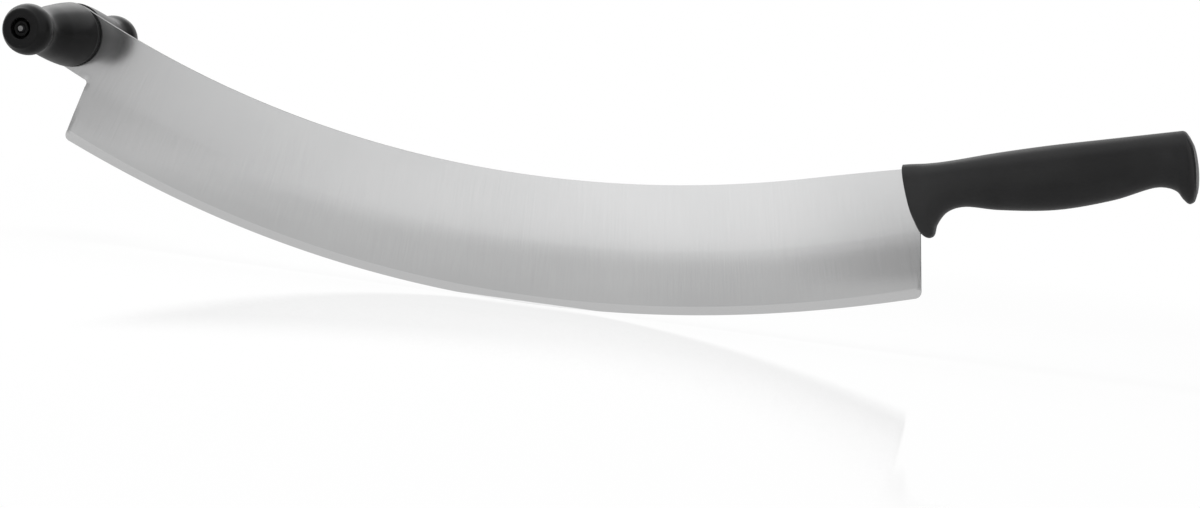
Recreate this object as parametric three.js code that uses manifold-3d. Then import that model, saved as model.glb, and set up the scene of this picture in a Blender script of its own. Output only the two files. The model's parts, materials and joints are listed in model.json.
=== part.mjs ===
// Two-handled cheese knife: an arched blade with a moulded handle at one end, and
// at the other end two round grips that turn on sleeves round a tie rod.
// Millimetres, +Z up, +X from the cross handle to the main handle, +Y across the blade.

import * as THREE from "three";
import { mergeVertices } from "three/addons/utils/BufferGeometryUtils.js";
import Module from "manifold-3d";

// Blade: angles in degrees round the centre of its arch, from the lowest point
const spineRadius = 577;
const bladeHeight = 61;
const bladeThickness = 2.4;
const leftEndAngle = 23.33;
const leftEndLean = 5;
const endCornerRadius = 2.6;
const innerCornerRadius = 2;

// Grind of the blade: the flat sides, then a long taper, then the cutting bevel
const flatHeight = 33;
const bevelHeight = 4;
const bevelThickness = 0.9;
const edgeThickness = 0.2;

// Tang of the cross handle
const crossTangWidth = 30.8;
const crossReach = 19.2;

// Main handle and where it meets the blade: angles in degrees
const handleAngle = 17.27;
const handleTilt = 13;
const handleLength = 132.5;
const spineDip = 1.8;
const dipLength = 9;
const heelCover = 8;
const heelLean = 5.2;

// Side view of the main handle: places from its front, depths below its back
const frontSlant = 2.6;
const frontDepth = 25;
const frontBow = 0.3;
const chinPlace = 5.6;
const chinDepth = 32.6;
const guardPlace = 8.6;
const guardDepth = 34.8;
const guardRearPlace = 11.2;
const guardRearDepth = 32.6;
const guardRootPlace = 14.4;
const guardRootDepth = 26.9;
const notchPlace = 25.5;
const notchDepth = 22.3;
const fingerPlace = 42;
const fingerDepth = 25.2;
const swellPlace = 68;
const swellDepth = 28;
const backDip = 0.75;
const backRise = 1;
const backRiseStart = 14;
const backRiseEnd = 62;

// The rest of that side view: places from the butt, and drops of the back towards it
const tailInset = 38.5;
const tailDepth = 25.9;
const waistInset = 17.8;
const waistDepth = 22.4;
const hookFrontInset = 10.4;
const hookFrontDepth = 25.4;
const hookThroatInset = 7.7;
const hookThroatDepth = 29.4;
const hookInset = 5.2;
const hookDepth = 31.65;
const hookDrop = 0.4;
const hookRearInset = 3;
const hookRearDepth = 31;
const hookRearDrop = 2.7;
const buttInset = 1.9;
const buttDepth = 28.9;
const buttDrop = 5;
const buttCrown = 1.9;

// Half widths of the main handle across the blade
const frontHalfWidth = 7.8;
const notchHalfWidth = 9.2;
const fingerHalfWidth = 11.2;
const swellHalfWidth = 12.5;
const tailHalfWidth = 11.8;
const waistHalfWidth = 10.8;
const hookHalfWidth = 11.2;
const hookRearHalfWidth = 10.3;
const buttHalfWidth = 8.5;
const handleSquareness = 2.5;

// Tang inside the main handle, with the holes that the moulding flows through
const tangTopCover = 4.6;
const tangUnderCover = 3.5;
const tangEndCover = 28.5;
const shoulderDepth = 2;
const lockHoleRadius = 3.5;
const lockHoleMargin = 14;
const lockHoleStart = 34;
const lockHoleCount = 3;

// Round grips: the body and slope are placed from the inner face, the neck and the ball of the knob from
// the outer end, and the ball starts so many degrees behind its middle
const gripLength = 52.8;
const gripRootRadius = 16;
const gripRootRound = 1;
const gripBodyRadius = 14.8;
const gripBodyPlace = 9.5;
const gripSlopeRadius = 12.8;
const gripSlopePlace = 21.2;
const gripNeckRadius = 10.4;
const gripNeckInset = 18.5;
const gripKnobRadius = 12;
const gripKnobInset = 8.6;
const gripKnobRear = 28;
const recessRadius = 5.2;
const recessDepth = 5.8;

// Tie rod, sleeves, washers and nuts
const rodRadius = 2;
const rodChamfer = 0.8;
const rodBeyondNut = 1;
const sleeveRadius = 3.4;
const thrustWasherRadius = 15.5;
const thrustWasherThickness = 1.2;
const endWasherThickness = 1;
const nutAcrossFlats = 7;
const nutThickness = 3.2;

// Clearances
const mouldGap = 0.3;
const rodGap = 0.3;
const turnGap = 0.3;
const endPlay = 0.35;
const washerGap = 0.5;

// Fineness of the round faces
const archStep = 0.6;
const cornerSteps = 5;
const roundSteps = 16;
const turnedSides = 40;
const smallSides = 24;
const curveSteps = 4;
const ribSides = 24;
const knobKnots = 4;

const wasm = await Module();
wasm.setup();

const radians = THREE.MathUtils.degToRad;
const degrees = THREE.MathUtils.radToDeg;

// A closed geometry as a solid, for cuts
function toSolid(geometry) {
  geometry.deleteAttribute("normal");
  geometry.deleteAttribute("uv");
  const merged = mergeVertices(geometry);
  const vertProperties = new Float32Array(merged.attributes.position.array);
  const triVerts = new Uint32Array(merged.index.array);
  return new wasm.Manifold(new wasm.Mesh({ numProp: 3, vertProperties, triVerts }));
}

function toGeometry(solid) {
  const mesh = solid.getMesh();
  const geometry = new THREE.BufferGeometry();
  geometry.setAttribute("position", new THREE.BufferAttribute(mesh.vertProperties, 3));
  geometry.setIndex(new THREE.BufferAttribute(mesh.triVerts, 1));
  return geometry;
}

// A flat outline in the plane of the blade, as a plate centred on that plane
function plate(shape, thickness) {
  const geometry = new THREE.ExtrudeGeometry(shape, {
    depth: thickness,
    bevelEnabled: false,
    curveSegments: smallSides / 2,
  });
  geometry.rotateX(Math.PI / 2);
  geometry.translate(0, thickness / 2, 0);
  return geometry;
}

// A profile of [radius, y] points, closed on itself and turned about Y
function turned(profile, sides) {
  const points = [...profile, profile[0]].map(([radius, y]) => new THREE.Vector2(radius, y));
  return new THREE.LatheGeometry(points, sides);
}

function ring(inner, outer, from, to, sides) {
  return turned([[inner, from], [outer, from], [outer, to], [inner, to]], sides);
}

// The arch: a point at a radius and an angle, in the plane of the blade
const edgeRadius = spineRadius + bladeHeight;
const bladeSide = bladeThickness / 2;

function onArch(radius, angle) {
  const turn = radians(angle);
  return new THREE.Vector2(radius * Math.sin(turn), edgeRadius - radius * Math.cos(turn));
}

function arch(radius, fromAngle, toAngle) {
  const steps = Math.ceil(Math.abs(toAngle - fromAngle) / archStep);
  const points = [];
  for (let i = 0; i <= steps; i += 1) {
    points.push(onArch(radius, fromAngle + ((toAngle - fromAngle) * i) / steps));
  }
  return points;
}

function archAngle(point) {
  return degrees(Math.atan2(point.x, edgeRadius - point.y));
}

// Where a line from a point inside the arch reaches a radius
function reachArch(start, direction, radius) {
  const fromCentre = new THREE.Vector2(start.x, start.y - edgeRadius);
  const along = fromCentre.dot(direction);
  const distance = Math.sqrt(along * along - fromCentre.lengthSq() + radius * radius) - along;
  return start.clone().addScaledVector(direction, distance);
}

// Points of a round corner between two straight edges
function roundCorner(before, corner, after, radius) {
  const back = before.clone().sub(corner).normalize();
  const ahead = after.clone().sub(corner).normalize();
  const halfAngle = Math.acos(back.dot(ahead)) / 2;
  const middle = back.clone().add(ahead).normalize();
  const centre = corner.clone().addScaledVector(middle, radius / Math.sin(halfAngle));
  const from = corner.clone().addScaledVector(back, radius / Math.tan(halfAngle)).sub(centre);
  const to = corner.clone().addScaledVector(ahead, radius / Math.tan(halfAngle)).sub(centre);
  const sweep = Math.atan2(from.cross(to), from.dot(to));
  const points = [];
  for (let i = 0; i <= cornerSteps; i += 1) {
    const turn = (sweep * i) / cornerSteps;
    points.push(from.clone().rotateAround(new THREE.Vector2(), turn).add(centre));
  }
  return points;
}

// The main handle's own frame: along its back, and above it
const handleFront = onArch(spineRadius, handleAngle);
const handleTurn = radians(handleTilt);

function inHandle(along, above) {
  const point = new THREE.Vector2(along, above);
  return point.rotateAround(new THREE.Vector2(), handleTurn).add(handleFront);
}

// The heel is the blade's right end: it starts inside the handle and leans forward
function onHeel(above, grow) {
  return inHandle(heelCover + grow + above * Math.tan(radians(heelLean)), above);
}

// The tang keeps its cover of plastic above, below and beyond
const tangWidth = notchDepth - tangTopCover - tangUnderCover;
const tangLength = handleLength - tangEndCover;

// The spine dips under the front of the handle
const dipAngle = handleAngle - degrees(dipLength / spineRadius);

// The plate's edge inside the handle, from the dip round the tang to the heel
function handleEnd(grow) {
  const spineEnd = inHandle(shoulderDepth + grow, grow - spineDip);
  const shoulder = inHandle(shoulderDepth + grow, grow - tangTopCover);
  const half = tangWidth / 2;
  const endCentre = inHandle(tangLength - half, -tangTopCover - half);
  const endTop = inHandle(tangLength - half, grow - tangTopCover);
  const tangBottom = -tangTopCover - tangWidth - grow;
  const endBottom = inHandle(tangLength - half, tangBottom);
  const heelTop = onHeel(tangBottom, grow);
  const heelFoot = onHeel(-guardDepth, grow);
  const inner = innerCornerRadius - grow;
  const points = [spineEnd, ...roundCorner(spineEnd, shoulder, endTop, inner)];
  for (let i = 0; i <= roundSteps; i += 1) {
    points.push(endTop.clone().rotateAround(endCentre, (-Math.PI * i) / roundSteps));
  }
  points.push(...roundCorner(endBottom, heelTop, heelFoot, inner));
  return points;
}

function addHoles(shape, centres, radius) {
  for (const centre of centres) {
    shape.holes.push(new THREE.Path().absarc(centre.x, centre.y, radius, 0, 2 * Math.PI));
  }
}

// The cross handle's axis sits in the middle of its tang
const rodBore = rodRadius + rodGap;
const crossHalf = crossTangWidth / 2;
const crossAngle = -leftEndAngle - degrees(crossReach / (spineRadius + crossHalf));
const crossAxis = onArch(spineRadius + crossHalf, crossAngle);
const lockHoles = [];
for (let i = 0; i < lockHoleCount; i += 1) {
  const span = tangLength - lockHoleMargin - lockHoleStart;
  const place = lockHoleStart + (span * i) / (lockHoleCount - 1);
  lockHoles.push(inHandle(place, -tangTopCover - tangWidth / 2));
}

function bladeShape() {
  const tangLow = spineRadius + crossTangWidth;
  const innerCorner = onArch(tangLow, -leftEndAngle);
  const leftDirection = onArch(tangLow + 1, -leftEndAngle).sub(innerCorner);
  leftDirection.rotateAround(new THREE.Vector2(), radians(leftEndLean));
  const leftTip = reachArch(innerCorner, leftDirection, edgeRadius);
  const heelMiddle = onHeel(-guardDepth, 0);
  const heelDirection = heelMiddle.clone().sub(onHeel(0, 0)).normalize();
  const rightTip = reachArch(heelMiddle, heelDirection, edgeRadius);
  const nearRight = archAngle(rightTip) - archStep;
  const nearLeft = archAngle(leftTip) + archStep;
  const points = arch(spineRadius, crossAngle, dipAngle);
  points.push(...handleEnd(0));
  points.push(...roundCorner(heelMiddle, rightTip, onArch(edgeRadius, nearRight), endCornerRadius));
  points.push(...arch(edgeRadius, nearRight, nearLeft));
  points.push(...roundCorner(onArch(edgeRadius, nearLeft), leftTip, innerCorner, endCornerRadius));
  const tangEdge = onArch(tangLow, crossAngle);
  points.push(...roundCorner(leftTip, innerCorner, tangEdge, innerCornerRadius));
  for (let i = 0; i < roundSteps; i += 1) {
    points.push(tangEdge.clone().rotateAround(crossAxis, (-Math.PI * i) / roundSteps));
  }
  const shape = new THREE.Shape(points);
  addHoles(shape, lockHoles, lockHoleRadius);
  addHoles(shape, [crossAxis], rodBore);
  return shape;
}

// What the grind takes off one side, as a ring round the centre of the arch
function grindRing(side) {
  const outside = edgeRadius + bevelHeight;
  const profile = [
    [spineRadius + flatHeight, bladeSide],
    [edgeRadius - bevelHeight, bevelThickness / 2],
    [edgeRadius, edgeThickness / 2],
    [outside, edgeThickness / 2],
    [outside, bladeThickness],
    [spineRadius + flatHeight, bladeThickness],
  ];
  const geometry = turned(profile, Math.round(360 / archStep));
  if (side < 0) {
    geometry.rotateX(Math.PI);
  }
  geometry.translate(0, 0, edgeRadius);
  return toSolid(geometry);
}

function bladeGeometry() {
  const blank = toSolid(plate(bladeShape(), bladeThickness));
  return toGeometry(blank.subtract(grindRing(1)).subtract(grindRing(-1)));
}

// A closed skin over a row of rings that all have the same even number of points
function loft(rings) {
  const count = rings[0].length;
  const positions = rings.flat().flatMap((point) => point.toArray());
  const index = [];
  for (let i = 0; i + 1 < rings.length; i += 1) {
    for (let j = 0; j < count; j += 1) {
      const next = (j + 1) % count;
      const here = i * count;
      const there = here + count;
      index.push(here + j, there + j, there + next);
      index.push(here + j, there + next, here + next);
    }
  }
  const last = (rings.length - 1) * count;
  for (let j = 0; j < count / 2; j += 1) {
    const facing = (count - j) % count;
    const corners = [j, j + 1, count - j - 1, facing];
    for (const [a, b, c] of [[0, 1, 2], [0, 2, 3]]) {
      if (new Set([corners[a], corners[b], corners[c]]).size === 3) {
        index.push(corners[a], corners[b], corners[c]);
        index.push(last + corners[a], last + corners[c], last + corners[b]);
      }
    }
  }
  const geometry = new THREE.BufferGeometry();
  geometry.setAttribute("position", new THREE.Float32BufferAttribute(positions, 3));
  geometry.setIndex(index);
  return geometry;
}

// The back of the main handle dips behind the blade, then rises to the palm
function backHeight(place) {
  const rise = THREE.MathUtils.smoothstep(place, backRiseStart, backRiseEnd);
  const dip = THREE.MathUtils.smoothstep(place, 0, backRiseStart);
  return (backDip + backRise) * rise - backDip * dip;
}

// A rib runs from the back to the underside, and bows forward or out at its middle
function rib(backPlace, underPlace, depth, half, bow) {
  return { back: [backPlace, backHeight(backPlace)], under: [underPlace, -depth], half, bow };
}

function guardRib(place, depth) {
  const share = place / notchPlace;
  const half = THREE.MathUtils.lerp(frontHalfWidth, notchHalfWidth, share);
  return rib(place - frontSlant, place, depth, half, -frontBow * (1 - share));
}

function uprightRib(place, depth, half, bow) {
  return rib(place, place, depth, half, bow);
}

function hookRib(inset, depth, half, bow, drop) {
  const found = uprightRib(handleLength - inset, depth, half, bow);
  found.back[1] -= drop;
  return found;
}

function handleRibs() {
  return [
    rib(0, frontSlant, frontDepth, frontHalfWidth, -frontBow),
    guardRib(chinPlace, chinDepth),
    guardRib(guardPlace, guardDepth),
    guardRib(guardRearPlace, guardRearDepth),
    guardRib(guardRootPlace, guardRootDepth),
    uprightRib(notchPlace, notchDepth, notchHalfWidth, 0),
    uprightRib(fingerPlace, fingerDepth, fingerHalfWidth, 0),
    uprightRib(swellPlace, swellDepth, swellHalfWidth, 0),
    uprightRib(handleLength - tailInset, tailDepth, tailHalfWidth, 0),
    uprightRib(handleLength - waistInset, waistDepth, waistHalfWidth, 0),
    hookRib(hookFrontInset, hookFrontDepth, hookHalfWidth, buttCrown / 4, 0),
    hookRib(hookThroatInset, hookThroatDepth, hookHalfWidth, buttCrown / 2, 0),
    hookRib(hookInset, hookDepth, hookHalfWidth, buttCrown, hookDrop),
    hookRib(hookRearInset, hookRearDepth, hookRearHalfWidth, buttCrown, hookRearDrop),
    hookRib(buttInset, buttDepth, buttHalfWidth, buttCrown, buttDrop),
  ];
}

// Points on a smooth curve through a row of pairs
function smooth(pairs) {
  const knots = pairs.map(([x, y]) => new THREE.Vector3(x, y, 0));
  const curve = new THREE.CatmullRomCurve3(knots, false, "centripetal");
  return curve.getPoints((pairs.length - 1) * curveSteps);
}

function power(value) {
  return Math.sign(value) * Math.abs(value) ** (2 / handleSquareness);
}

function handleBody() {
  const ribs = handleRibs();
  const backs = smooth(ribs.map((each) => each.back));
  const unders = smooth(ribs.map((each) => each.under));
  const widths = smooth(ribs.map((each, i) => [i, each.half]));
  const bows = smooth(ribs.map((each, i) => [i, each.bow]));
  const rings = backs.map((back, i) => {
    const points = [];
    for (let j = 0; j < ribSides; j += 1) {
      const turn = (2 * Math.PI * j) / ribSides;
      const share = (1 - power(Math.cos(turn))) / 2;
      const place = back.clone().lerp(unders[i], share);
      const flat = inHandle(place.x + bows[i].y * 4 * share * (1 - share), place.y);
      points.push(new THREE.Vector3(flat.x, widths[i].y * power(Math.sin(turn)), flat.y));
    }
    return points;
  });
  return loft(rings);
}

// The slot that the blade and its tang fill, with the plugs that pass through the tang
function handleSlot() {
  const below = -guardDepth - heelCover;
  const points = [
    inHandle(-dipLength, below),
    onArch(spineRadius - mouldGap, dipAngle),
    ...handleEnd(mouldGap),
    onHeel(below, mouldGap),
  ];
  const shape = new THREE.Shape(points);
  addHoles(shape, lockHoles, lockHoleRadius - mouldGap);
  return plate(shape, bladeThickness + 2 * mouldGap);
}

function handleGeometry() {
  return toGeometry(toSolid(handleBody()).subtract(toSolid(handleSlot())));
}

// The stack along the tie rod, out from the middle of the blade
const thrustEnd = bladeSide + thrustWasherThickness;
const gripStart = thrustEnd + endPlay;
const gripEnd = gripStart + gripLength;
const recessFloor = gripEnd - recessDepth;
const sleeveEnd = recessFloor + endPlay;
const washerEnd = sleeveEnd + endWasherThickness;
const nutEnd = washerEnd + nutThickness;
const rodEnd = nutEnd + rodBeyondNut;
const gripBore = sleeveRadius + turnGap;
const endWasherRadius = recessRadius - washerGap;

// The outside of a grip, from its root to the rim of the flat end
function gripOutline() {
  const knots = [
    [gripRootRadius, gripRootRound],
    [gripBodyRadius, gripBodyPlace],
    [gripSlopeRadius, gripSlopePlace],
    [gripNeckRadius, gripLength - gripNeckInset],
  ];
  const firstTurn = -radians(gripKnobRear);
  const lastTurn = Math.asin(gripKnobInset / gripKnobRadius);
  for (let i = 0; i < knobKnots; i += 1) {
    const turn = THREE.MathUtils.lerp(firstTurn, lastTurn, i / (knobKnots - 1));
    const place = gripLength - gripKnobInset + gripKnobRadius * Math.sin(turn);
    knots.push([gripKnobRadius * Math.cos(turn), place]);
  }
  return smooth(knots).map((point) => [point.x, gripStart + point.y]);
}

function gripGeometry() {
  return turned(
    [
      [gripBore, gripStart],
      [gripRootRadius - gripRootRound, gripStart],
      ...gripOutline(),
      [recessRadius, gripEnd],
      [recessRadius, recessFloor],
      [gripBore, recessFloor],
    ],
    turnedSides,
  );
}

function nutGeometry() {
  const corner = nutAcrossFlats / Math.sqrt(3);
  const corners = [];
  for (let i = 0; i < 6; i += 1) {
    corners.push(new THREE.Vector2(corner, 0).rotateAround(new THREE.Vector2(), (i * Math.PI) / 3));
  }
  const shape = new THREE.Shape(corners);
  addHoles(shape, [new THREE.Vector2()], rodBore);
  const geometry = plate(shape, nutThickness);
  geometry.translate(0, washerEnd + nutThickness / 2, 0);
  return geometry;
}

function rodGeometry() {
  const tip = rodRadius - rodChamfer;
  const points = [
    [0, -rodEnd],
    [tip, -rodEnd],
    [rodRadius, rodChamfer - rodEnd],
    [rodRadius, rodEnd - rodChamfer],
    [tip, rodEnd],
    [0, rodEnd],
  ];
  return new THREE.LatheGeometry(points.map(([radius, y]) => new THREE.Vector2(radius, y)), smallSides);
}

const blackPlastic = { color: 0x17181a, roughness: 0.5, metalness: 0 };
const steel = { color: 0xc4c7ca, roughness: 0.35, metalness: 1 };
const darkSteel = { color: 0x2b2b2d, roughness: 0.45, metalness: 1 };

function piece(name, geometry, finish) {
  const mesh = new THREE.Mesh(geometry, new THREE.MeshStandardMaterial(finish));
  mesh.name = name;
  return mesh;
}

// One half of the cross handle, built towards +Y
function halfStack(side) {
  const thrustWasher = ring(gripBore, thrustWasherRadius, bladeSide, thrustEnd, turnedSides);
  const sleeve = ring(rodBore, sleeveRadius, bladeSide, sleeveEnd, smallSides);
  const endWasher = ring(rodBore, endWasherRadius, sleeveEnd, washerEnd, smallSides);
  const group = new THREE.Group();
  group.add(
    piece(`${side}_thrust_washer`, thrustWasher, blackPlastic),
    piece(`${side}_sleeve`, sleeve, steel),
    piece(`${side}_grip`, gripGeometry(), blackPlastic),
    piece(`${side}_end_washer`, endWasher, darkSteel),
    piece(`${side}_nut`, nutGeometry(), darkSteel),
  );
  return group;
}

const knife = new THREE.Group();
knife.add(piece("blade", bladeGeometry(), steel));
knife.add(piece("main_handle", handleGeometry(), blackPlastic));

const crossHandle = new THREE.Group();
crossHandle.position.set(crossAxis.x, 0, crossAxis.y);
crossHandle.add(piece("tie_rod", rodGeometry(), steel));
const farHalf = halfStack("far");
const nearHalf = halfStack("near");
nearHalf.rotation.z = Math.PI;
crossHandle.add(farHalf, nearHalf);
knife.add(crossHandle);

// The origin is under the middle of the knife, level with the lowest point of the edge
const box = new THREE.Box3().setFromObject(knife);
knife.position.set(-(box.min.x + box.max.x) / 2, 0, -box.min.z);

export default knife;
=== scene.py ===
"""Dresses the solids of a two-handled cheese knife, in a white studio."""

import json
import math

import bmesh
import bpy
from mathutils import Matrix, Vector


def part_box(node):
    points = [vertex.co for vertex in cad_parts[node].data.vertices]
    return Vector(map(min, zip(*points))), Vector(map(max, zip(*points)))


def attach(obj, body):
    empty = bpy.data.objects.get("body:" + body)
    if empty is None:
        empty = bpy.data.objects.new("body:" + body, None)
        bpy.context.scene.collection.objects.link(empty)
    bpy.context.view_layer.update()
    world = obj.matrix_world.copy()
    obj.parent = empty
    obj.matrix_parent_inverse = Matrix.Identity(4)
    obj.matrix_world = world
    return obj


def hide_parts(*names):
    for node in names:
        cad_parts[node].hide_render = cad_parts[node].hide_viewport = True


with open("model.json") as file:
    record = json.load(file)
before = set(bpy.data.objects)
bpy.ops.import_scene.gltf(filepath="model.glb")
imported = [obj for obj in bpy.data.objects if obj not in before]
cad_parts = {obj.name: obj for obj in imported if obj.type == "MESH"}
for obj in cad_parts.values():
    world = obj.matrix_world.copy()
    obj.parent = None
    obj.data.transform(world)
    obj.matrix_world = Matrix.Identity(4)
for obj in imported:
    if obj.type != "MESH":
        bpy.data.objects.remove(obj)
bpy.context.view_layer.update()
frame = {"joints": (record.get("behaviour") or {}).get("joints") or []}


# Blade: one plate of stainless steel cut to an arch, ground thinner over its lower half, with a
# cutting bevel along the edge. Its round tang at the left carries the cross handle, and a straight
# tang at the right is moulded into the main handle. It is finished by grinding from spine to edge.
spine_radius = 0.577
edge_radius = 0.63799
blade_half = 0.0012
flat_end = 0.610
grind_blend = 0.006
bevel_radius = 0.634
bevel_half = 0.00045
edge_half = 0.0001
edge_drop = 0.0007
drop_power = 6
left_end_angle = math.radians(23.33)
left_end_lean = math.radians(5)
tip_round = 0.0026
cross_tang_half = 0.0154
tang_corner = 0.0012
cross_reach = 0.0192
handle_angle = math.radians(17.27)
handle_tilt = math.radians(13)
heel_cover = 0.008
heel_lean = math.radians(5.2)
dip_length = 0.043
dip_depth = 0.0021
handle_tang_top = 0.0046
handle_tang_low = 0.0191
handle_tang_length = 0.096
arch_steps = 170
tang_steps = 8
round_steps = 24
rim_bevel = 0.0002
thick_enough = 0.0004
side_facing = 0.95
blade_weld = 1e-6
inner_corner_rows = (0.08, 0.3, 0.6, 1)
grind_rows = (0.25, 0.6, 1, 1.6, 2.4)
tip_rows = (1, 0.6, 0.3, 0.1, 0)

cross_axis = Vector(frame["joints"][0]["pos_m"])
cross_axis.y = 0
tang_middle = spine_radius + cross_tang_half
tang_low = spine_radius + 2 * cross_tang_half
cross_angle = -left_end_angle - cross_reach / tang_middle
arch_centre = cross_axis + tang_middle * Vector((-math.sin(cross_angle), 0, math.cos(cross_angle)))


def on_arch(radius, angle, side=0.0):
    """A point in the plane of the blade, at a radius and an angle round the centre of the arch."""
    return arch_centre + Vector((radius * math.sin(angle), side, -radius * math.cos(angle)))


def arch_angle(point):
    """The angle of a point round the centre of the arch."""
    return math.atan2(point.x - arch_centre.x, arch_centre.z - point.z)


handle_front = on_arch(spine_radius, handle_angle)
along_handle = Vector((math.cos(handle_tilt), 0, math.sin(handle_tilt)))
above_handle = Vector((-math.sin(handle_tilt), 0, math.cos(handle_tilt)))


def in_handle(along, above, side=0.0):
    """A point in the main handle's frame: along its back from the front corner, and above that line."""
    return handle_front + along * along_handle + above * above_handle + Vector((0, side, 0))


def on_heel(above):
    """A point on the line of the heel, at a height over the handle's back."""
    return in_handle(heel_cover + above * math.tan(heel_lean), above)


def line_angle(start, direction, radius):
    """The angle at which a straight end of the blade crosses a radius."""
    offset = start - arch_centre
    along = offset.dot(direction)
    distance = math.sqrt(along * along - offset.length_squared + radius * radius) - along
    return arch_angle(start + distance * direction)


def corner_inset(depth, corner):
    """How far a round corner draws an end in, at a depth past the start of the round."""
    inside = min(max(depth, 0.0), corner)
    return corner - math.sqrt(corner * corner - inside * inside)


left_start = on_arch(tang_low, -left_end_angle)
left_direction = (left_start - arch_centre).normalized()
left_direction.rotate(Matrix.Rotation(-left_end_lean, 3, "Y"))
heel_direction = (on_heel(-1) - on_heel(0)).normalized()


def left_angle(radius):
    """Where the left end lies at a radius: the tang's root, then a leaning end with round corners."""
    if radius <= tang_low:
        return -left_end_angle - tang_corner / tang_low
    tip = corner_inset(radius - edge_radius + tip_round, tip_round)
    inner = corner_inset(tang_low + tang_corner - radius, tang_corner)
    return line_angle(left_start, left_direction, radius) + (tip - inner) / radius


def right_angle(radius):
    """Where the heel lies at a radius, with its round tip."""
    tip = corner_inset(radius - edge_radius + tip_round, tip_round)
    return line_angle(on_heel(0), heel_direction, radius) - tip / radius


def half_thickness(radius):
    """Half the thickness at a radius: flat, then softly into the taper of the grind, then the bevel."""
    if radius > bevel_radius:
        share = (radius - bevel_radius) / (edge_radius - bevel_radius)
        return bevel_half + (edge_half - bevel_half) * share
    slope = (blade_half - bevel_half) / (bevel_radius - flat_end)
    into = min(max(radius - flat_end + grind_blend, 0.0), 2 * grind_blend)
    past = max(radius - flat_end - grind_blend, 0.0)
    return blade_half - slope * (into * into / (4 * grind_blend) + past)


def below_flat(radius):
    """0 on the flat side, and rising to 1 at the cutting edge."""
    return max(radius - flat_end, 0.0) / (edge_radius - flat_end)


handle_tang_radii = [(on_heel(-drop) - arch_centre).length for drop in (handle_tang_top, handle_tang_low)]
radii = [spine_radius, *handle_tang_radii, flat_end - grind_blend, tang_low]
radii += [tang_low + tang_corner * share for share in inner_corner_rows]
radii += [flat_end + grind_blend * share for share in grind_rows]
radii += [bevel_radius]
radii += [edge_radius - tip_round * share for share in tip_rows]

blade = bmesh.new()
bmesh.ops.create_grid(blade, x_segments=arch_steps, y_segments=len(radii) - 1, size=1)
left_rim = {}
right_rim = {}
for vert in blade.verts:
    radius = radii[round((1 - vert.co.y) / 2 * (len(radii) - 1))]
    share = (1 + vert.co.x) / 2
    if round(share * arch_steps) == 0:
        left_rim[vert] = radius
    if round(share * arch_steps) == arch_steps:
        right_rim[vert] = radius
    angle = (1 - share) * left_angle(radius) + share * right_angle(radius)
    past_dip = 1 + (angle - handle_angle) * spine_radius / dip_length
    if radius == spine_radius and past_dip > 0:
        radius += dip_depth * past_dip * past_dip
    drop = edge_drop * abs(2 * share - 1) ** drop_power * below_flat(radius)
    vert.co = on_arch(radius + drop, angle, -half_thickness(radius))


def end_edges(rim, low, high):
    """The edges along one end of the blade's side, between two radii."""
    chosen = {vert for vert, radius in rim.items() if low <= radius <= high}
    return [edge for edge in blade.edges if chosen.issuperset(edge.verts)]


tang_root = end_edges(left_rim, spine_radius, tang_low)
tang_turn = left_angle(tang_low) - cross_angle
swept = bmesh.ops.spin(
    blade, geom=tang_root, cent=arch_centre, axis=(0, 1, 0), angle=tang_turn, steps=tang_steps
)["geom_last"]
tang_end = [item for item in swept if isinstance(item, bmesh.types.BMEdge)]
tang_top = blade.verts.new(on_arch(spine_radius, cross_angle, -blade_half))
bmesh.ops.spin(
    blade, geom=[tang_top], cent=cross_axis, axis=(0, -1, 0), angle=math.pi, steps=round_steps
)
bmesh.ops.remove_doubles(blade, verts=blade.verts, dist=blade_weld)
open_rim = [edge for edge in blade.edges if edge.is_wire]
bmesh.ops.contextual_create(blade, geom=open_rim + [edge for edge in tang_end if edge.is_valid])

hidden_root = end_edges(right_rim, *handle_tang_radii)
hidden_tang = bmesh.ops.extrude_edge_only(blade, edges=hidden_root)["geom"]
hidden_verts = [item for item in hidden_tang if isinstance(item, bmesh.types.BMVert)]
bmesh.ops.translate(blade, verts=hidden_verts, vec=handle_tang_length * along_handle)

rim_edges = [edge for edge in blade.edges if edge.is_boundary]
rim = bmesh.ops.extrude_edge_only(blade, edges=rim_edges)["geom"]
for item in rim:
    if isinstance(item, bmesh.types.BMVert):
        item.co.y = 0
thick_rim = [edge for edge in rim_edges if max(vert.co.y for vert in edge.verts) < -thick_enough]
bmesh.ops.bevel(
    blade, geom=thick_rim, offset=rim_bevel, affect="EDGES", segments=2, profile=0.5, material=-1
)
blade.normal_update()
cut_rim = blade.faces.layers.float.new("cut_rim")
for face in blade.faces:
    face[cut_rim] = float(abs(face.normal.y) < side_facing)
half_blade = blade.verts[:] + blade.edges[:] + blade.faces[:]
bmesh.ops.mirror(blade, geom=half_blade, axis="Y", merge_dist=blade_weld)

piece_weld = 1e-7


def as_object(mesh, name, material):
    """Makes a bmesh an object of the scene, in one material."""
    data = bpy.data.meshes.new(name)
    mesh.to_mesh(data)
    mesh.free()
    data.materials.append(material)
    made = bpy.data.objects.new(name, data)
    bpy.context.scene.collection.objects.link(made)
    return made


def closed_piece(mesh, name, material, sharp_angle=math.radians(35)):
    """Merges a closed bmesh and makes it an object, smooth but for its sharp edges."""
    bmesh.ops.remove_doubles(mesh, verts=mesh.verts, dist=piece_weld)
    bmesh.ops.recalc_face_normals(mesh, faces=mesh.faces)
    for face in mesh.faces:
        face.smooth = True
    for edge in mesh.edges:
        if edge.calc_face_angle(0) > sharp_angle:
            edge.smooth = False
    return as_object(mesh, name, material)


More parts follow.
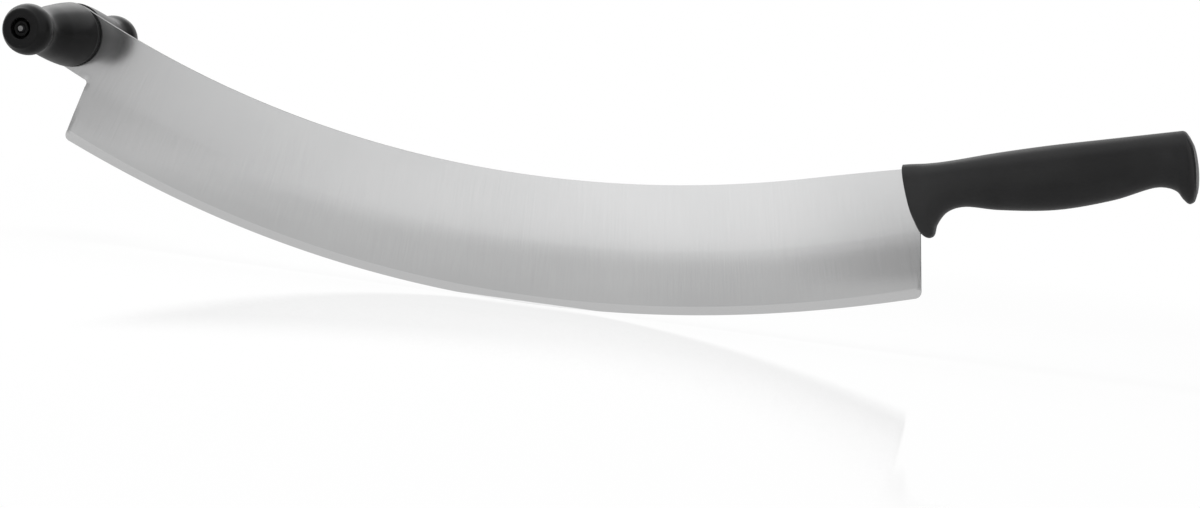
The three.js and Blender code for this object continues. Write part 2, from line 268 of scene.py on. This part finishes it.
class Wire:
    """A socket in a material: sums on it add Math nodes, and node() adds any other node."""

    def __init__(self, tree, socket=None):
        self.tree = tree
        self.socket = socket

    def node(self, kind, settings=None, sockets=None, output=0):
        """Adds a node with its settings, then its sockets, and gives one of its outputs."""
        made = self.tree.nodes.new(kind)
        for name, value in (settings or {}).items():
            setattr(made, name, value)
        for name, value in (sockets or {}).items():
            if isinstance(value, Wire):
                self.tree.links.new(value.socket, made.inputs[name])
            else:
                made.inputs[name].default_value = value
        return Wire(self.tree, made.outputs[output])

    def math(self, operation, *values):
        """The result of a Math node on these values."""
        return self.node("ShaderNodeMath", {"operation": operation}, dict(enumerate(values)))

    def __add__(self, other):
        return self.math("ADD", self, other)

    def __radd__(self, other):
        return self.math("ADD", other, self)

    def __sub__(self, other):
        return self.math("SUBTRACT", self, other)

    def __rsub__(self, other):
        return self.math("SUBTRACT", other, self)

    def __mul__(self, other):
        return self.math("MULTIPLY", self, other)

    def __rmul__(self, other):
        return self.math("MULTIPLY", other, self)

    def place(self):
        """The object's own x, y and z, in metres."""
        coordinates = self.node("ShaderNodeTexCoord", output="Object")
        split = self.node("ShaderNodeSeparateXYZ", sockets={"Vector": coordinates})
        return [Wire(self.tree, socket) for socket in split.socket.node.outputs]

    def noise(self, place, scale, detail=3.0):
        """Noise from 0 to 1, with its own number of swings to the metre along each part of a place."""
        scaled = [part * factor for part, factor in zip(place, scale)]
        vector = self.node("ShaderNodeCombineXYZ", sockets=dict(enumerate(scaled)))
        return self.node("ShaderNodeTexNoise", sockets={"Vector": vector, "Scale": 1.0, "Detail": detail})

    def ramp(self, low, high):
        """0 below low, 1 above high and smooth between."""
        return self.node(
            "ShaderNodeMapRange",
            {"interpolation_type": "SMOOTHSTEP"},
            {"Value": self, "From Min": low, "From Max": high},
        )

    def spread(self, low=0.3, high=0.7):
        """Noise drawn out from its middle values to the whole of 0 to 1."""
        return self.ramp(low, high)

    def blend(self, first, second):
        """A colour between two colours, by this value: sockets 6 and 7 of the node, and output 2."""
        return self.node(
            "ShaderNodeMix", {"data_type": "RGBA"}, {"Factor": self, 6: first, 7: second}, output=2
        )

    def bump(self, depth, strength):
        """A normal that takes this value as a height."""
        return self.node(
            "ShaderNodeBump", sockets={"Height": self, "Strength": strength, "Distance": depth}
        )


def new_material(name):
    """A material and a first wire in its tree, with its main shader left to set."""
    material = bpy.data.materials.new(name)
    material.use_nodes = True
    return material, Wire(material.node_tree)


def set_finish(material, sockets):
    """Sets the main shader's sockets: wires where a value varies, and numbers where it doesn't."""
    shader = material.node_tree.nodes["Principled BSDF"]
    for name, value in sockets.items():
        if isinstance(value, Wire):
            material.node_tree.links.new(value.socket, shader.inputs[name])
        else:
            shader.inputs[name].default_value = value


satin_shade = (0.745, 0.747, 0.75, 1)
satin_light = (0.805, 0.806, 0.808, 1)
honed_bright = (0.88, 0.881, 0.883, 1)
# The cut rim's near-black colour is painted shade, which dims the spine and the ends of the plate.
rim_painted_shade = (0.12, 0.12, 0.12, 1)
hone_blend = 0.0002
line_scale = (4200, 60, 300)
steel_cloud_scale = (14, 22, 300)
line_depth = 0.00003
satin_rough = 0.14


def ground_steel():
    """Satin stainless: fine grinding lines from spine to edge, a honed bright bevel, a cut rim painted dark
    as shade.
    """
    material, wire = new_material("ground_stainless")
    x, y, z = wire.place()
    from_centre = x - arch_centre.x
    below_centre = arch_centre.z - z
    along = wire.math("ARCTAN2", from_centre, below_centre) * edge_radius
    across = wire.math("SQRT", from_centre * from_centre + below_centre * below_centre)
    lines = wire.noise((along, across, y), line_scale)
    clouds = wire.noise((along, across, y), steel_cloud_scale)
    honed = across.ramp(bevel_radius - hone_blend, bevel_radius + hone_blend)
    satin = (lines * 0.5 + clouds * 0.5).spread().blend(satin_shade, satin_light)
    rim = wire.node("ShaderNodeAttribute", {"attribute_name": "cut_rim"}, output="Fac")
    set_finish(material, {
        "Base Color": rim.blend(honed.blend(satin, honed_bright), rim_painted_shade),
        "Metallic": 1.0,
        "Roughness": lines * 0.04 + clouds * 0.03 + rim * 0.25 + satin_rough,
        "Normal": lines.bump(line_depth, strength=0.05),
    })
    return material


arched_blade = closed_piece(blade, "arched_blade", ground_steel())
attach(arched_blade, "knife")
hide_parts("blade")


# Main handle: black thermoplastic moulded round the tang in one shot, with a guard at the blade, a
# palm swell and a hook at the butt. Its skin is spark-eroded matt, with a fine parting line.
handle_ribs = [
    # place on the back, its drop, place below, depth, half width, bow
    (0.0, 0.0, 0.0026, 0.0250, 0.0078, -0.0003),
    (0.0030, 0.0, 0.0056, 0.0326, 0.0081, -0.00023),
    (0.0060, 0.0, 0.0086, 0.0348, 0.0083, -0.0002),
    (0.0084, 0.0, 0.0110, 0.0342, 0.0084, -0.00017),
    (0.0104, 0.0, 0.0130, 0.0294, 0.0085, -0.00014),
    (0.0165, 0.0, 0.0180, 0.0241, 0.0087, -0.0001),
    (0.0255, 0.0, 0.0255, 0.0223, 0.0092, 0.0),
    (0.0420, 0.0, 0.0420, 0.0254, 0.0112, 0.0),
    (0.0680, 0.0, 0.0680, 0.0281, 0.0125, 0.0),
    (0.0940, 0.0, 0.0940, 0.0264, 0.0118, 0.0),
    (0.1147, 0.0, 0.1147, 0.0228, 0.0108, 0.0),
    (0.1221, 0.0, 0.1221, 0.0254, 0.0112, 0.0004),
    (0.1248, 0.0, 0.1248, 0.0294, 0.0112, 0.0009),
    (0.1283, 0.0003, 0.1271, 0.03165, 0.0112, 0.0016),
    (0.1300, 0.0027, 0.1292, 0.0310, 0.0103, 0.0015),
    (0.1310, 0.0050, 0.1303, 0.0289, 0.0085, 0.0015),
]
rib_spacing = 0.001
back_dip = 0.00075
back_rise = 0.00135
back_rise_start = 0.014
back_rise_end = 0.062
squareness = 2.5
rib_steps = 8
ring_sides = 64
front_round = 0.0009
butt_crown = 0.0004
butt_rail = 0.9
# Where the painted sheen on the guard fades out behind the front, and its paler grey.
guard_sheen_start = 0.008
guard_sheen_end = 0.036
seam_half = 0.0001
seam_end = 0.0004
moulding_shade = (0.014, 0.014, 0.0144, 1)
moulding_light = (0.018, 0.018, 0.0184, 1)
guard_sheen_grey = (0.023, 0.023, 0.0234, 1)
grain_scale = (2600, 2600, 2600)
cloud_scale = (45, 45, 45)
grain_depth = 0.00006
moulding_rough = 0.34


def ease(value, start, end):
    """0 before start, 1 past end and smooth between."""
    share = min(max((value - start) / (end - start), 0.0), 1.0)
    return share * share * (3 - 2 * share)


def back_height(place):
    """How far the back stands above its straight line: a slight dip at the guard, then a rise."""
    rise = ease(place, back_rise_start, back_rise_end)
    return (back_dip + back_rise) * rise - back_dip * ease(place, 0, back_rise_start)


def smooth_through(points, steps):
    """Points on one smooth curve through the given points, without loops where they are close."""
    knots = [Vector(point) for point in points]
    knots = [2 * knots[0] - knots[1], *knots, 2 * knots[-1] - knots[-2]]
    found = []
    for before, start, end, after in zip(knots, knots[1:], knots[2:], knots[3:]):
        first = math.sqrt((start - before).length)
        middle = math.sqrt((end - start).length)
        last = math.sqrt((after - end).length)
        lead = end - start + middle * ((start - before) / first - (end - before) / (first + middle))
        leave = end - start + middle * ((after - end) / last - (after - start) / (middle + last))
        bend = 3 * (end - start) - 2 * lead - leave
        turn = 2 * (start - end) + lead + leave
        for step in range(steps):
            share = step / steps
            found.append(start + share * (lead + share * (bend + share * turn)))
    return found + [knots[-2]]


def softened(value):
    """A sine or cosine for a ring that is rounder than a box and squarer than an ellipse."""
    return math.copysign(abs(value) ** (2 / squareness), value)


backs = []
unders = []
widths = []
bows = []
for number, (back, drop, under, depth, half, bow) in enumerate(handle_ribs):
    backs.append((back, back_height(back) - drop))
    unders.append((under, -depth))
    widths.append((number * rib_spacing, half))
    bows.append((number * rib_spacing, bow))

handle = bmesh.new()
rings = []
sections = zip(*(smooth_through(points, rib_steps) for points in (backs, unders, widths, bows)))
for back, under, (_, half), (_, bow) in sections:
    ring = bmesh.ops.create_circle(handle, segments=ring_sides, radius=1)["verts"]
    for vert in ring:
        share = (1 - softened(vert.co.y)) / 2
        place = back.lerp(under, share)
        forward = bow * 4 * share * (1 - share)
        vert.co = in_handle(place.x + forward, place.y, half * softened(vert.co.x))
    rings.append(ring)


def ring_edges(ring):
    """The edges that join the points of a ring."""
    return list({edge for vert in ring for edge in vert.link_edges if edge.other_vert(vert) in ring})


loops = [ring_edges(ring) for ring in rings]
for loop, following in zip(loops, loops[1:]):
    bmesh.ops.bridge_loops(handle, edges=loop + following)

bmesh.ops.contextual_create(handle, geom=loops[0])
bmesh.ops.bevel(
    handle, geom=loops[0], offset=front_round, affect="EDGES", segments=4, profile=0.5, material=-1
)

butt_half = widths[-1][1]
rails = [edge for edge in loops[-1] if max(abs(vert.co.y) for vert in edge.verts) < butt_half * butt_rail]
filled = bmesh.ops.grid_fill(handle, edges=rails)["faces"]
inner_verts = {vert for face in filled for vert in face.verts}.difference(rings[-1])
for vert in inner_verts:
    vert.co += butt_crown * (1 - (vert.co.y / butt_half) ** 2) * along_handle


def moulded_black():
    """Matt black moulding: a fine eroded grain, flow clouds, the parting line and a painted sheen on the
    guard.
    """
    material, wire = new_material("matt_black_moulding")
    x, y, z = wire.place()
    grain = wire.noise((x, y, z), grain_scale, detail=2.0)
    clouds = wire.noise((x, y, z), cloud_scale)
    seam = 1 - wire.math("ABSOLUTE", y).ramp(seam_half, seam_end)
    colour = clouds.spread().blend(moulding_shade, moulding_light)
    behind_front = (x - handle_front.x) * along_handle.x + (z - handle_front.z) * along_handle.z
    # A painted sheen: the guard is made paler towards the blade, as if its flank caught more light.
    guard_sheen = 1 - behind_front.ramp(guard_sheen_start, guard_sheen_end)
    set_finish(material, {
        "Base Color": guard_sheen.blend(colour, guard_sheen_grey),
        "Roughness": clouds * 0.08 + grain * 0.06 + moulding_rough,
        "Specular IOR Level": 0.25,
        "Normal": (grain + seam * 2).bump(grain_depth, strength=0.25),
    })
    return material


moulded_handle = closed_piece(handle, "moulded_handle", moulded_black())
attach(moulded_handle, "knife")
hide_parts("main_handle")


# Thrust washers: two discs of black nylon, one on each side of the round tang. They keep the grips
# off the steel and are held by the sleeves through them.
washer_bevel = 0.0002
sleeve_bore = 0.0037
sides = (("near", -1), ("far", 1))
turn_steps = 96
nylon_shade = (0.006, 0.006, 0.006, 1)
nylon_light = (0.011, 0.011, 0.011, 1)
nylon_mark_scale = (4000, 4000)
nylon_mark_depth = 0.00004
nylon_rough = 0.5


def spun(outline, side=1, closed=True):
    """An outline of radius and distance from the blade, spun round the cross handle's axis."""
    mesh = bmesh.new()
    corners = [mesh.verts.new(cross_axis + Vector((radius, side * out, 0))) for radius, out in outline]
    following = corners[1:] + corners[:1] if closed else corners[1:]
    edges = [mesh.edges.new(pair) for pair in zip(corners, following)]
    bmesh.ops.spin(
        mesh, geom=corners + edges, cent=cross_axis, axis=(0, 1, 0),
        angle=2 * math.pi, steps=turn_steps, use_merge=True,
    )
    return mesh


def bevelled_ring(inner, outer, start, end, bevel):
    """The outline of a flat ring whose outer corners are broken."""
    return [
        (inner, start), (outer - bevel, start), (outer, start + bevel),
        (outer, end - bevel), (outer - bevel, end), (inner, end),
    ]


def span(node):
    """How far from the blade a node of the cross handle starts and ends, and its outer radius."""
    low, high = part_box(node)
    distances = sorted((abs(low.y), abs(high.y)))
    return distances[0], distances[1], (high.x - low.x) / 2


def black_nylon():
    """Dull nylon, with turning marks in rings."""
    material, wire = new_material("black_nylon")
    x, y, z = wire.place()
    from_axis = x - cross_axis.x
    above_axis = z - cross_axis.z
    radius = wire.math("SQRT", from_axis * from_axis + above_axis * above_axis)
    marks = wire.noise((radius, y), nylon_mark_scale)
    set_finish(material, {
        "Base Color": marks.spread().blend(nylon_shade, nylon_light),
        "Roughness": marks * 0.12 + nylon_rough,
        "Specular IOR Level": 0.3,
        "Normal": marks.bump(nylon_mark_depth, strength=0.15),
    })
    return material


nylon = black_nylon()
for name, side in sides:
    start, end, outer = span(f"{name}_thrust_washer")
    outline = bevelled_ring(sleeve_bore, outer, start, end, washer_bevel)
    disc = closed_piece(spun(outline, side), f"{name}_nylon_disc", nylon)
    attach(disc, "knife")
    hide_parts(f"{name}_thrust_washer")


# Sleeves: two cut lengths of bright steel tube round the tie rod. The nuts clamp them against the
# tang, and the grips turn on them.
rod_bore = 0.0023
tube_bevel = 0.0003
bright_shade = (0.52, 0.52, 0.53, 1)
bright_light = (0.66, 0.66, 0.66, 1)
bright_mark_scale = (300, 5000, 300)
bright_mark_depth = 0.00003
bright_rough = 0.22


def bright_steel():
    """Plain bright steel, with fine turning marks round it."""
    material, wire = new_material("bright_steel")
    marks = wire.noise(wire.place(), bright_mark_scale)
    set_finish(material, {
        "Base Color": marks.spread().blend(bright_shade, bright_light),
        "Metallic": 1.0,
        "Roughness": marks * 0.12 + bright_rough,
        "Normal": marks.bump(bright_mark_depth, strength=0.1),
    })
    return material


bright = bright_steel()
for name, side in sides:
    start, end, outer = span(f"{name}_sleeve")
    outline = bevelled_ring(rod_bore, outer, start, end, tube_bevel)
    tube = closed_piece(spun(outline, side), f"{name}_steel_tube", bright)
    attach(tube, "knife")
    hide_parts(f"{name}_sleeve")


# Grips: two turned forms in satin black plastic, fullest at the blade, drawn in to a neck and ending
# in a ball with a flat face. A recess there hides the nut, and each grip turns freely on its sleeve.
grip_side = [(0.0160, 0.001), (0.0150, 0.0095), (0.0131, 0.0212), (0.0107, 0.0343)]
root_round = 0.001
knob_radius = 0.0125
knob_inset = 0.0086
knob_rear = math.radians(28)
knob_knots = 4
face_round = 0.001
recess_radius = 0.0052
recess_depth = 0.0058
recess_chamfer = 0.0003
side_steps = 12
corner_steps = 8
grip_shade = (0.0068, 0.0068, 0.007, 1)
grip_light = (0.0088, 0.0088, 0.0091, 1)
grip_cloud_scale = (120, 120, 120)
grip_grain_scale = (3000, 3000, 3000)
rub_scale = (60, 2500, 60)
grip_grain_depth = 0.00004
grip_rough = 0.27


def round_corner(before, corner, after):
    """Points of a soft corner, without its first."""
    shares = [step / corner_steps for step in range(1, corner_steps + 1)]
    before, corner, after = (Vector(point) for point in (before, corner, after))
    return [before.lerp(corner, share).lerp(corner.lerp(after, share), share) for share in shares]


def grip_outline(start, end):
    """Half of a grip's section: its root, its side, the ball, the flat face and the recess."""
    knob_middle = end - start - knob_inset
    face_turn = math.asin(knob_inset / knob_radius)
    face_rim = knob_radius * math.cos(face_turn)
    knots = grip_side[:]
    for knot in range(knob_knots):
        share = knot / (knob_knots - 1)
        turn = share * (face_turn - face_round / knob_radius) - (1 - share) * knob_rear
        knots.append((knob_radius * math.cos(turn), knob_middle + knob_radius * math.sin(turn)))
    side = [(radius, start + out) for radius, out in smooth_through(knots, side_steps)]
    root = grip_side[0][0]
    return [
        (sleeve_bore, start), (root - root_round, start),
        *round_corner((root - root_round, start), (root, start), side[0]),
        *side[1:],
        *round_corner(side[-1], (face_rim, end), (face_rim - face_round, end)),
        (recess_radius + recess_chamfer, end), (recess_radius, end - recess_chamfer),
        (recess_radius, end - recess_depth), (sleeve_bore, end - recess_depth),
    ]


def satin_black():
    """Smooth satin black plastic, a little cloudy, with faint rub marks round the axis."""
    material, wire = new_material("satin_black_plastic")
    place = wire.place()
    clouds = wire.noise(place, grip_cloud_scale)
    grain = wire.noise(place, grip_grain_scale, detail=2.0)
    rubs = wire.noise(place, rub_scale)
    set_finish(material, {
        "Base Color": clouds.spread().blend(grip_shade, grip_light),
        "Roughness": clouds * 0.06 + rubs * 0.05 + grip_rough,
        "Specular IOR Level": 0.14,
        "Normal": (grain + rubs * 0.5).bump(grip_grain_depth, strength=0.05),
    })
    return material


satin = satin_black()
for name, side in sides:
    start, end, _ = span(f"{name}_grip")
    turned_grip = closed_piece(spun(grip_outline(start, end), side), f"{name}_turned_grip", satin)
    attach(turned_grip, f"{name}_grip")
    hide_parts(f"{name}_grip")


# End washers: two blackened steel washers on the floors of the recesses. The sleeves stop them, so
# they keep the grips on without gripping them.
end_washer_bevel = 0.0002
blackened_shade = (0.006, 0.006, 0.0065, 1)
blackened_worn = (0.018, 0.018, 0.018, 1)
worn_start = 0.45
worn_end = 0.75
speck_scale = (900, 900, 900)
speck_depth = 0.00004
blackened_rough = 0.55


def blackened_steel():
    """Oxide-blackened steel, worn lighter in specks."""
    material, wire = new_material("blackened_steel")
    specks = wire.noise(wire.place(), speck_scale)
    set_finish(material, {
        "Base Color": specks.ramp(worn_start, worn_end).blend(blackened_shade, blackened_worn),
        "Metallic": 0.7,
        "Roughness": specks * 0.2 + blackened_rough,
        "Normal": specks.bump(speck_depth, strength=0.1),
    })
    return material


blackened = blackened_steel()
for name, side in sides:
    start, end, outer = span(f"{name}_end_washer")
    outline = bevelled_ring(rod_bore, outer, start, end, end_washer_bevel)
    washer = closed_piece(spun(outline, side), f"{name}_round_washer", blackened)
    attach(washer, "knife")
    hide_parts(f"{name}_end_washer")


# Nuts: two blackened hexagon nuts that clamp the stack. Each is a turned blank with a chamfered
# face, cut to six flats.
across_flats = 0.007
corner_radius = across_flats / math.sqrt(3)
nut_chamfer = 0.0005
flats = 6
nut_sharp_angle = math.radians(20)


def hexagon_nut(start, end, side):
    """A chamfered ring cut by six planes, each cut closed by a flat."""
    mesh = spun(bevelled_ring(rod_bore, corner_radius, start, end, nut_chamfer), side)
    bmesh.ops.remove_doubles(mesh, verts=mesh.verts, dist=piece_weld)
    for flat in range(flats):
        turn = (2 * flat + 1) * math.pi / flats
        outward = Vector((math.cos(turn), 0, math.sin(turn)))
        everything = mesh.verts[:] + mesh.edges[:] + mesh.faces[:]
        cut = bmesh.ops.bisect_plane(
            mesh, geom=everything, plane_co=cross_axis + across_flats / 2 * outward,
            plane_no=outward, clear_outer=True,
        )["geom_cut"]
        cut_edges = [item for item in cut if isinstance(item, bmesh.types.BMEdge)]
        bmesh.ops.contextual_create(mesh, geom=cut_edges)
    return mesh


for name, side in sides:
    start, end, _ = span(f"{name}_nut")
    nut = closed_piece(hexagon_nut(start, end, side), f"{name}_hexagon_nut", blackened, nut_sharp_angle)
    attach(nut, "knife")
    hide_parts(f"{name}_nut")


# Tie rod: one length of threaded stainless steel through both grips and the tang. Its chamfered ends
# stand just proud of the nuts, and only their sawn faces are bright.
rod_low, rod_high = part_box("tie_rod")
rod_end = rod_high.y
rod_radius = (rod_high.x - rod_low.x) / 2
rod_chamfer = 0.0008
thread_pitch = 0.0007
thread_depth = 0.0003
threaded_length = 0.0063
sawn_start = 0.0002
sawn_end = 0.00005
# The rod's near-black colour is painted shade in the recesses. Only the sawn end faces keep a steel grey.
shade_painted_dark = (0.03, 0.03, 0.031, 1)
sawn_shade = (0.2, 0.2, 0.204, 1)
sawn_light = (0.33, 0.33, 0.33, 1)
scratch_scale = (9000, 500, 1500)
patch_scale = (1200, 1200, 1200)
scratch_depth = 0.00003
rod_rough = 0.38


def rod_outline():
    """Half of the rod's section: a plain shank between two threaded ends."""
    points = [(0.0, rod_end), (rod_radius - rod_chamfer, rod_end), (rod_radius, rod_end - rod_chamfer)]
    threads = round(threaded_length / thread_pitch)
    for thread in range(threads):
        crest = rod_end - rod_chamfer - thread_pitch * thread
        points.append((rod_radius - thread_depth, crest - thread_pitch / 2))
        points.append((rod_radius, crest - thread_pitch))
    return points + [(radius, -out) for radius, out in reversed(points)]


def shade_painted_thread():
    """Stainless steel painted near black as shade, but for its scratched and patchy sawn ends."""
    material, wire = new_material("shade_painted_stainless")
    x, y, z = wire.place()
    scratches = wire.noise((x, y, z), scratch_scale)
    patches = wire.noise((x, y, z), patch_scale)
    # Painted shade everywhere but the sawn end faces.
    sawn = wire.math("ABSOLUTE", y).ramp(rod_end - sawn_start, rod_end - sawn_end)
    bare = (scratches * 0.4 + patches * 0.6).spread().blend(sawn_shade, sawn_light)
    set_finish(material, {
        "Base Color": sawn.blend(shade_painted_dark, bare),
        "Metallic": 1.0,
        "Roughness": scratches * 0.1 + rod_rough,
        "Normal": scratches.bump(scratch_depth, strength=0.1),
    })
    return material


threaded_rod = closed_piece(spun(rod_outline(), closed=False), "threaded_rod", shade_painted_thread())
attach(threaded_rod, "knife")
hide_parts("tie_rod")


# Studio: a white floor that keeps the knife's soft shadow and a faint reflection of it, a white room,
# three soft lamps, and grey cards round the knife that only the steel and the plastic mirror.
floor_half = 12.0
floor_drop = 0.0002
floor_gloss = 0.21
floor_ripple = 0.012
floor_paper = (0.97, 0.97, 0.97, 1)
shadow_share = 0.1
shadow_inner = 0.35
shadow_outer = 1.1
mirror_start = 0.14
mirror_end = 0.31
mirror_bow = 7.5
mirror_middle = 0.07
knife_middle = Vector((0, 0, 0.06))
room_light = 0.45
shown_white = 1.0
cards = [
    # name, tone, half size, fade at the edges, middle
    ("under_card", 0.54, (1.2, 0.7, 0), (0.45, 0.45, 0), (-0.1, 0, 0.001)),
    ("heel_card", 0.17, (0.2, 0.25, 0), (0.085, 0.12, 0), (0.2, -0.47, 0.002)),
    ("far_heel_card", 0.5, (0.2, 0.5, 0), (0.137, 0.2, 0), (0.07, -1.0, 0.0025)),
    ("left_floor_card", 0.4, (0.65, 0.7, 0), (0.45, 0.45, 0), (-0.9, -0.9, 0.0015)),
    ("left_card", 0.3, (0.74, 0, 0.6), (0.24, 0, 0.3), (-1.54, -1.4, 0.2)),
    ("middle_card", 0.78, (0.97, 0, 0.6), (0.2, 0, 0.3), (-1.33, -1.41, 0.2)),
    ("right_card", 0.3, (0.8, 0, 0.6), (0.35, 0, 0.3), (0.72, -1.4, 0.2)),
    ("heel_wall", 0.3, (0.3, 0, 0.15), (0.16, 0, 0.1), (0.1, -1.39, -0.06)),
    ("butt_card", 0.05, (1.3, 0.75, 0), (0.4, 0.4, 0), (0.8, 1.3, 0.003)),
    ("butt_wall", 0.05, (1.3, 0, 0.9), (0.15, 0, 0.3), (1.85, 1.0, 0.5)),
    ("upper_card", 0.3, (2.0, 0, 0.6), (0.3, 0, 0.3), (0, -1.6, 1.2)),
]
lamps = [
    # name, middle, aim, width, depth, watts, whether gloss mirrors it
    ("key_lamp", (-0.2, -0.5, 1.3), (0.0, 0.0, 0.05), 0.7, 0.7, 9.0, False),
    ("fill_lamp", (-1.1, -1.6, 1.1), (0.0, 0.0, 0.05), 0.9, 0.9, 4.0, False),
    ("grip_lamp", (-0.65, 0.8, 0.9), cross_axis, 0.9, 1.0, 3.9, True),
]
camera_place = (0.39210, -1.32729, 0.09862)
camera_azimuth = math.radians(15.886)
camera_elevation = math.radians(2.929)
camera_roll = math.radians(6.715)
camera_lens = 87.615
camera_sensor = 36.0


def stage_plane(name, material, half, place):
    """A flat rectangle that faces the knife: lying down, or upright where its half depth is 0."""
    mesh = bmesh.new()
    bmesh.ops.create_grid(mesh, x_segments=1, y_segments=1, size=1)
    if half[1] == 0:
        bmesh.ops.rotate(mesh, verts=mesh.verts, matrix=Matrix.Rotation(math.pi / 2, 3, "X"))
    bmesh.ops.scale(mesh, vec=half, verts=mesh.verts)
    bmesh.ops.translate(mesh, vec=place, verts=mesh.verts)
    mesh.normal_update()
    turned_away = [face for face in mesh.faces if face.normal.dot(knife_middle - Vector(place)) < 0]
    bmesh.ops.reverse_faces(mesh, faces=turned_away)
    made = as_object(mesh, name, material)
    return made


def surface(material, shader):
    """Makes a shader the material's surface."""
    output = material.node_tree.nodes["Material Output"]
    material.node_tree.links.new(shader.socket, output.inputs["Surface"])


def seen_directly(wire):
    """1 for rays from the camera, off gloss and through glass, and 0 for the rest."""
    paths = wire.node("ShaderNodeLightPath").socket.node.outputs
    names = ("Is Camera Ray", "Is Glossy Ray", "Is Transmission Ray")
    camera, glossy, through = (Wire(wire.tree, paths[name]) for name in names)
    return wire.math("MAXIMUM", wire.math("MAXIMUM", camera, glossy), through)


def rippled(wire, x, y):
    """A level normal that leans a little at random, which softens a sharp reflection."""
    spot = wire.node("ShaderNodeCombineXYZ", sockets={"X": x, "Y": y})
    scatter = wire.node("ShaderNodeTexWhiteNoise", sockets={"Vector": spot}, output="Color")
    widest = (floor_ripple, floor_ripple, 0)
    upward = (-floor_ripple / 2, -floor_ripple / 2, 1)
    leaning = wire.node(
        "ShaderNodeVectorMath", {"operation": "MULTIPLY_ADD"}, {0: scatter, 1: widest, 2: upward}
    )
    return wire.node("ShaderNodeVectorMath", {"operation": "NORMALIZE"}, {0: leaning})


def pale_floor():
    """White: near the knife a share is lit paper that keeps the shadow, and a share is gloss that fades."""
    material, wire = new_material("pale_floor")
    x, y, z = wire.place()
    distance = wire.math("SQRT", x * x + y * y)
    direct = seen_directly(wire)
    near = 1 - distance.ramp(shadow_inner, shadow_outer)
    paper = wire.node("ShaderNodeBsdfDiffuse", sockets={"Color": floor_paper})
    white = wire.node("ShaderNodeEmission", sockets={"Strength": shown_white})
    plain = direct * (1 - near * shadow_share)
    matt = wire.node("ShaderNodeMixShader", sockets={0: plain, 1: paper, 2: white})
    gloss = wire.node(
        "ShaderNodeBsdfGlossy",
        sockets={"Color": (1, 1, 1, 1), "Roughness": 0.0, "Normal": rippled(wire, x, y)},
    )
    off_middle = x - mirror_middle
    past_bow = wire.math("ABSOLUTE", y) - off_middle * off_middle * mirror_bow
    shine = direct * near * (1 - past_bow.ramp(mirror_start, mirror_end)) * floor_gloss
    surface(material, wire.node("ShaderNodeMixShader", sockets={0: shine, 1: matt, 2: gloss}))
    return material


stage_plane("floor", pale_floor(), (floor_half, floor_half, 1), (0, 0, -floor_drop))


def grey_card(name, tone, half, fades, place):
    """A soft-edged grey rectangle that the knife's soft gloss shows and the floor's sharp one doesn't."""
    material, wire = new_material(name)
    mask = 1 - wire.node("ShaderNodeLightPath", output="Is Singular Ray")
    for coordinate, middle, reach, fade in zip(wire.place(), place, half, fades):
        if fade:
            mask = (1 - wire.math("ABSOLUTE", coordinate - middle).ramp(reach - fade, reach)) * mask
    clear = wire.node("ShaderNodeBsdfTransparent")
    grey = wire.node("ShaderNodeEmission", sockets={"Color": (tone, tone, tone, 1)})
    surface(material, wire.node("ShaderNodeMixShader", sockets={0: mask, 1: clear, 2: grey}))
    card = stage_plane(name, material, half, place)
    card.visible_camera = False
    card.visible_diffuse = False
    card.visible_shadow = False


for settings in cards:
    grey_card(*settings)

room = bpy.data.worlds.new("white_room")
room.use_nodes = True
bpy.context.scene.world = room
air = Wire(room.node_tree)
strength = seen_directly(air) * (shown_white - room_light) + room_light
background = room.node_tree.nodes["Background"]
background.inputs["Color"].default_value = (1, 1, 1, 1)
room.node_tree.links.new(strength.socket, background.inputs["Strength"])


def soft_lamp(name, place, aim, width, depth, power, mirrored):
    """A rectangle of light, which glossy surfaces mirror or which only lights them."""
    light = bpy.data.lights.new(name, "AREA")
    light.shape = "RECTANGLE"
    light.size = width
    light.size_y = depth
    light.energy = power
    lamp = bpy.data.objects.new(name, light)
    lamp.location = place
    lamp.rotation_euler = (Vector(aim) - Vector(place)).to_track_quat("-Z", "Y").to_euler()
    lamp.visible_camera = False
    lamp.visible_glossy = mirrored
    bpy.context.scene.collection.objects.link(lamp)


for settings in lamps:
    soft_lamp(*settings)

camera_data = bpy.data.cameras.new("camera")
camera_data.sensor_width = camera_sensor
camera_data.lens = camera_lens
camera = bpy.data.objects.new("camera", camera_data)
turned = Matrix.Rotation(camera_azimuth, 4, "Z") @ Matrix.Rotation(math.pi / 2 - camera_elevation, 4, "X")
rolled = Matrix.Rotation(camera_roll, 4, "Z")
camera.matrix_world = Matrix.Translation(camera_place) @ turned @ rolled
bpy.context.scene.collection.objects.link(camera)
bpy.context.scene.camera = camera
bpy.context.scene.view_settings.view_transform = "Standard"
